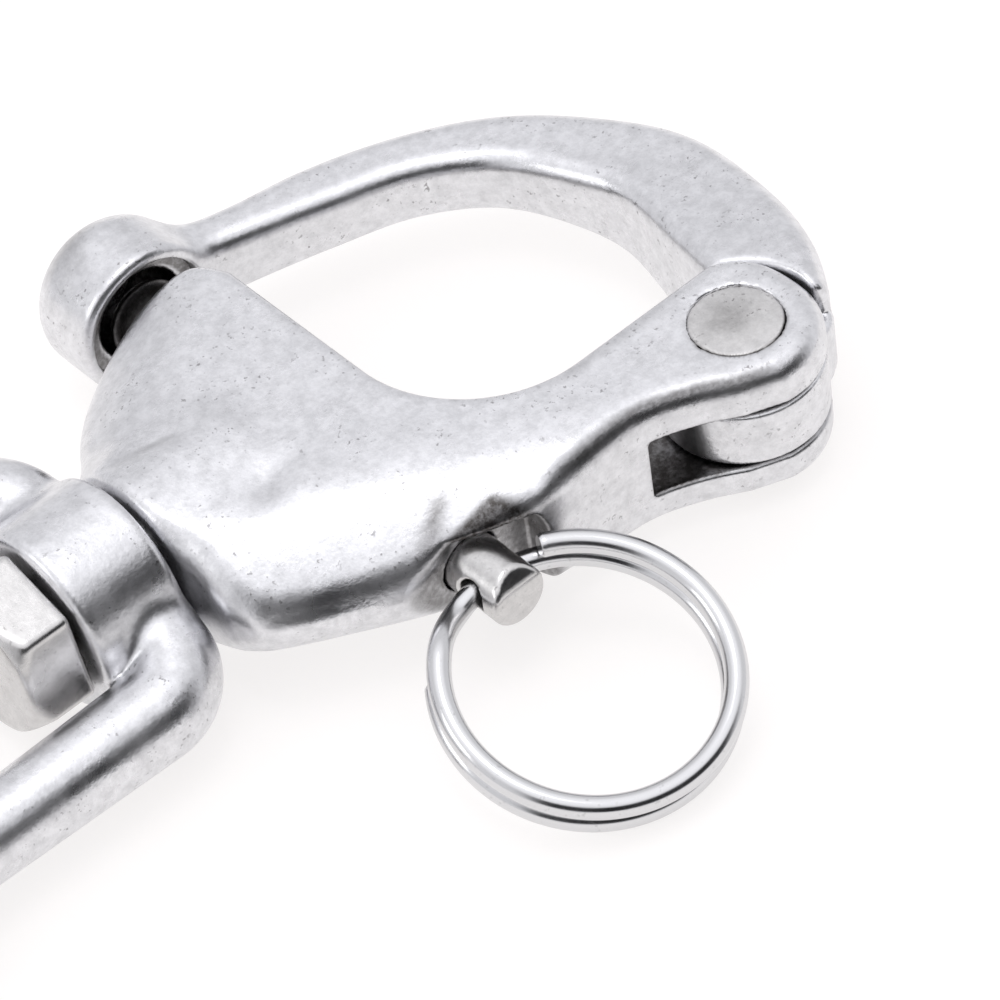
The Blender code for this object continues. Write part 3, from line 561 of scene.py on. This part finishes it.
def steel(name, colour, roughness, grain, pits, cloudy=1.0):
    """Satin stainless steel: a clouded skin, its fine relief and a scatter of dark specks.

    grain is the relief's depth in metres, pits the strength of the specks and cloudy the tone of the
    duller clouds. The vertices' shade darkens it.
    """
    material = bpy.data.materials.new(name)
    material.use_nodes = True
    nodes, links = material.node_tree.nodes, material.node_tree.links
    shader = nodes["Principled BSDF"]
    shader.inputs["Metallic"].default_value = 1.0
    place = nodes.new("ShaderNodeTexCoord").outputs["Object"]

    def noise(scale, detail, rough=0.5):
        node = nodes.new("ShaderNodeTexNoise")
        node.inputs["Scale"].default_value = scale
        node.inputs["Detail"].default_value = detail
        node.inputs["Roughness"].default_value = rough
        links.new(place, node.inputs["Vector"])
        return node.outputs["Fac"]

    def ramp(value, from_low, from_high, to_low, to_high):
        node = nodes.new("ShaderNodeMapRange")
        node.inputs["From Min"].default_value = from_low
        node.inputs["From Max"].default_value = from_high
        node.inputs["To Min"].default_value = to_low
        node.inputs["To Max"].default_value = to_high
        links.new(value, node.inputs["Value"])
        return node.outputs["Result"]

    def multiply(a, b):
        node = nodes.new("ShaderNodeMath")
        node.operation = "MULTIPLY"
        links.new(a, node.inputs[0])
        links.new(b, node.inputs[1])
        return node.outputs["Value"]

    def mix(factor):
        node = nodes.new("ShaderNodeMix")
        node.data_type = "RGBA"
        links.new(factor, node.inputs["Factor"])
        return node

    specks = ramp(noise(2600, 2, 0.6), 0.62, 0.70, 0.0, 1.0)
    patches = ramp(noise(330, 2), 0.46, 0.62, 0.0, 1.0)
    tone = mix(ramp(noise(900, 6, 0.78), 0.36, 0.62, 0, 1))
    tone.inputs["A"].default_value = (*(c * cloudy for c in colour), 1)
    tone.inputs["B"].default_value = (*colour, 1)
    pitted = mix(ramp(multiply(specks, patches), 0, 1, 0, pits))
    links.new(tone.outputs["Result"], pitted.inputs["A"])
    pitted.inputs["B"].default_value = (colour[0] * 0.35, colour[1] * 0.34, colour[2] * 0.34, 1)
    # Painted shade and painted dark reflection: the vertices' shade mixes in a near-black, broken up by noise
    shade = nodes.new("ShaderNodeAttribute")
    shade.attribute_name = "shade"
    shaded = mix(multiply(shade.outputs["Fac"], ramp(noise(1900, 3, 0.7), 0.34, 0.58, 0.72, 1.0)))
    links.new(pitted.outputs["Result"], shaded.inputs["A"])
    shaded.inputs["B"].default_value = (0.085, 0.078, 0.074, 1)
    links.new(shaded.outputs["Result"], shader.inputs["Base Color"])
    gloss = ramp(noise(260, 3), 0.3, 0.7, roughness - 0.05, roughness + 0.07)
    links.new(gloss, shader.inputs["Roughness"])
    fine = nodes.new("ShaderNodeBump")
    fine.inputs["Strength"].default_value = 1.0
    fine.inputs["Distance"].default_value = grain
    links.new(noise(2600, 3, 0.6), fine.inputs["Height"])
    soft = nodes.new("ShaderNodeBump")
    soft.inputs["Strength"].default_value = 1.0
    soft.inputs["Distance"].default_value = grain * 3.0
    links.new(noise(210, 2), soft.inputs["Height"])
    links.new(fine.outputs["Normal"], soft.inputs["Normal"])
    links.new(soft.outputs["Normal"], shader.inputs["Normal"])
    return material


# The material that each kind of piece shows; the rivet is turned steel with a hammered skin
CAST = "cast_steel", steel("cast_steel", (0.79, 0.79, 0.81), 0.29, 0.000019, 0.8, 0.80)
TURNED = "turned_steel", steel("turned_steel", (0.66, 0.65, 0.645), 0.24, 0.000008, 0.5, 0.85)
WIRE = "wire_steel", steel("wire_steel", (0.68, 0.68, 0.69), 0.20, 0.000002, 0.25)
RIVET = "turned_steel", steel("rivet_steel", (0.69, 0.68, 0.675), 0.34, 0.000014, 0.9, 0.78)

# Pieces

CAST_STEP = 0.22
TURNED_STEP, SMALL_STEP = 0.18, 0.14

FORK_PLACE = Matrix.Translation((0, SWIVEL_Y * MM, 0)) @ Matrix.Rotation(math.radians(FORK_TURN), 4, "X")
BOLT_PLACE = Matrix.Translation((0, SWIVEL_Y * MM, 0)) @ Matrix.Rotation(math.radians(BOLT_TURN), 4, "X")
PIN_PLACE = FORK_PLACE @ Matrix.Translation((EAR_X * MM, 0, 0))
RIVET_PLACE = Matrix.Translation((PIVOT[0] * MM, PIVOT[1] * MM, 0))

low, high = (-16.0, -24.6, -7.0), (31.2, 17.0, 7.0)
solid_piece("body_skin", body_distance, low, high, CAST_STEP, "body", *CAST, shade=body_shade)
low, high = (-6.8, -24.6, -6.6), (38.2, 27.2, 6.6)
solid_piece("bail_skin", bail_distance, low, high, CAST_STEP, "bail", *CAST, shade=bail_shade)
low, high = (-50.0, -14.6, -7.8), (-14.8, 14.6, 7.8)
solid_piece("swivel_fork_skin", fork_distance, low, high, CAST_STEP, "fork", *CAST, place=FORK_PLACE)
low, high = (-29.4, -7, -7), (-4.8, 7, 7)
solid_piece("swivel_bolt_skin", bolt_distance, low, high, TURNED_STEP, "body", *TURNED, place=BOLT_PLACE)
low, high = (-3.6, -22, -3.6), (3.6, 20.6, 3.6)
solid_piece(
    "plunger_pin_skin", plunger_distance, low, high, SMALL_STEP, "plunger", *TURNED, shade=plunger_shade
)
low, high = (-4, -16.4, -4), (4, 19, 4)
solid_piece("clevis_pin_skin", pin_distance, low, high, TURNED_STEP, "clevis_pin", *TURNED, place=PIN_PLACE)
low, high = (-3.9, -3.9, -6.4), (3.9, 3.9, 6.4)
solid_piece(
    "pivot_rivet_skin", rivet_distance, low, high, SMALL_STEP, "body", *RIVET,
    place=RIVET_PLACE, shade=rivet_shade,
)

# Each ring is turned about its hole's middle and tilted from level
vertices, faces = swept(ring_points(*PULL_RING), PULL_RING[1] / 2)
PULL_TURN = Matrix.Rotation(math.radians(-4), 4, "Z") @ Matrix.Rotation(math.radians(18), 4, "X")
PULL_PLACE = Matrix.Translation((0, PULL_HOLE_Y * MM, 0)) @ PULL_TURN
piece("pull_ring_skin", vertices, faces, "pull_ring", *WIRE, "pull_ring", PULL_PLACE)
vertices, faces = swept(ring_points(*CLEVIS_RING), CLEVIS_RING[1] / 2)
turn = math.radians(FORK_TURN)
HOLE = (EAR_X * MM, (SWIVEL_Y + CLEVIS_HOLE_Y * math.cos(turn)) * MM, CLEVIS_HOLE_Y * math.sin(turn) * MM)
CLEVIS_TURN = Matrix.Rotation(math.pi, 4, "Z") @ Matrix.Rotation(math.radians(36), 4, "X")
CLEVIS_PLACE = Matrix.Translation(HOLE) @ CLEVIS_TURN
piece("clevis_ring_skin", vertices, faces, "clevis_ring", *WIRE, "clevis_ring", CLEVIS_PLACE)
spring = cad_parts["plunger_spring"]
spring.data.materials.clear()
spring.data.materials.append(WIRE[1])

# Floor, light and camera

floor_mesh = bpy.data.meshes.new("floor")
floor_mesh.from_pydata([(-3, -3, 0), (3, -3, 0), (3, 3, 0), (-3, 3, 0)], [], [(0, 1, 2, 3)])
floor = bpy.data.objects.new("floor", floor_mesh)
bpy.context.scene.collection.objects.link(floor)
paper = bpy.data.materials.new("paper")
paper.use_nodes = True
paper_shader = paper.node_tree.nodes["Principled BSDF"]
paper_shader.inputs["Base Color"].default_value = (0.34, 0.33, 0.325, 1)
paper_shader.inputs["Roughness"].default_value = 0.9
paper_shader.inputs["Specular IOR Level"].default_value = 0.0
paper_shader.inputs["Emission Color"].default_value = (1.0, 0.985, 0.98, 1)
paper_shader.inputs["Emission Strength"].default_value = 0.74
floor_mesh.materials.append(paper)

bpy.context.scene.view_settings.view_transform = "Standard"
world = bpy.data.worlds.new("tent")
bpy.context.scene.world = world
world.use_nodes = True
nodes, links = world.node_tree.nodes, world.node_tree.links
direction = nodes.new("ShaderNodeTexCoord").outputs["Generated"]
parts = nodes.new("ShaderNodeSeparateXYZ")
links.new(direction, parts.inputs["Vector"])


def world_math(operation, first, second):
    node = nodes.new("ShaderNodeMath")
    node.operation = operation
    for socket_shade, value in zip(node.inputs, (first, second)):
        if isinstance(value, (int, float)):
            socket_shade.default_value = value
        else:
            links.new(value, socket_shade)
    return node.outputs["Value"]


def world_ramp(value, from_low, from_high, to_low, to_high):
    node = nodes.new("ShaderNodeMapRange")
    node.interpolation_type = "SMOOTHSTEP"
    limits = {"From Min": from_low, "From Max": from_high, "To Min": to_low, "To Max": to_high}
    for key, number in limits.items():
        node.inputs[key].default_value = number
    links.new(value, node.inputs["Value"])
    return node.outputs["Result"]


# The tent's opening, towards -Y: a dark window between two heights, ending before +X
window = world_ramp(parts.outputs["Y"], -0.32, -0.52, 0, 1)
for axis, limits in (("Z", (0.04, 0.14, 0, 1)), ("Z", (0.60, 0.76, 1, 0)), ("X", (0.62, 0.82, 1, 0))):
    window = world_math("MULTIPLY", window, world_ramp(parts.outputs[axis], *limits))
wall = world_math("SUBTRACT", 1.0, window)
brightness = world_math("MULTIPLY", wall, world_ramp(parts.outputs["Z"], 0.55, 0.95, 0.84, 1.25))
sky = nodes.new("ShaderNodeMix")
sky.data_type = "RGBA"
links.new(brightness, sky.inputs["Factor"])
sky.clamp_factor = False
sky.inputs["A"].default_value = (0.02, 0.02, 0.022, 1)
sky.inputs["B"].default_value = (0.99, 0.99, 1.02, 1)
links.new(sky.outputs["Result"], nodes["Background"].inputs["Color"])
nodes["Background"].inputs["Strength"].default_value = 1.0


def soft_light(name, place, target, size, power):
    lamp = bpy.data.lights.new(name, "AREA")
    lamp.shape = "SQUARE"
    lamp.size = size
    lamp.energy = power
    obj = bpy.data.objects.new(name, lamp)
    obj.location = place
    obj.rotation_euler = (Vector(place) - Vector(target)).to_track_quat("Z", "Y").to_euler()
    bpy.context.scene.collection.objects.link(obj)


soft_light("overhead", (0.0, 0.0, 0.6), (0, 0, 0), 0.25, 0.35)
soft_light("left", (-0.5, 0.2, 0.3), (0, 0, 0), 0.25, 0.3)

AZIMUTH, ELEVATION, ROLL = (math.radians(v) for v in (-35.5, 46.5, 9.0))
CAMERA_DISTANCE = 378  # millimetres
PIXELS_PER_MM = 14.444  # at that distance, in a picture 1000 pixels wide
SENSOR_WIDTH = 36
LEVEL = math.cos(ELEVATION)
back = Vector((math.sin(AZIMUTH) * LEVEL, -math.cos(AZIMUTH) * LEVEL, math.sin(ELEVATION)))
level_right = Vector((math.cos(AZIMUTH), math.sin(AZIMUTH), 0))
level_up = back.cross(level_right)
right = level_right * math.cos(ROLL) - level_up * math.sin(ROLL)
up = level_right * math.sin(ROLL) + level_up * math.cos(ROLL)
camera_data = bpy.data.cameras.new("camera")
camera_data.sensor_width = SENSOR_WIDTH
camera_data.lens = CAMERA_DISTANCE * PIXELS_PER_MM * SENSOR_WIDTH / 1000
camera_data.clip_start = 0.01
camera = bpy.data.objects.new("camera", camera_data)
offset = right * (12.84 * MM) - up * (3.91 * MM)
place = Matrix.Translation(ORIGIN + back * (CAMERA_DISTANCE * MM) + offset)
camera.matrix_world = place @ Matrix((right, up, back)).transposed().to_4x4()
bpy.context.scene.collection.objects.link(camera)
bpy.context.scene.camera = camera
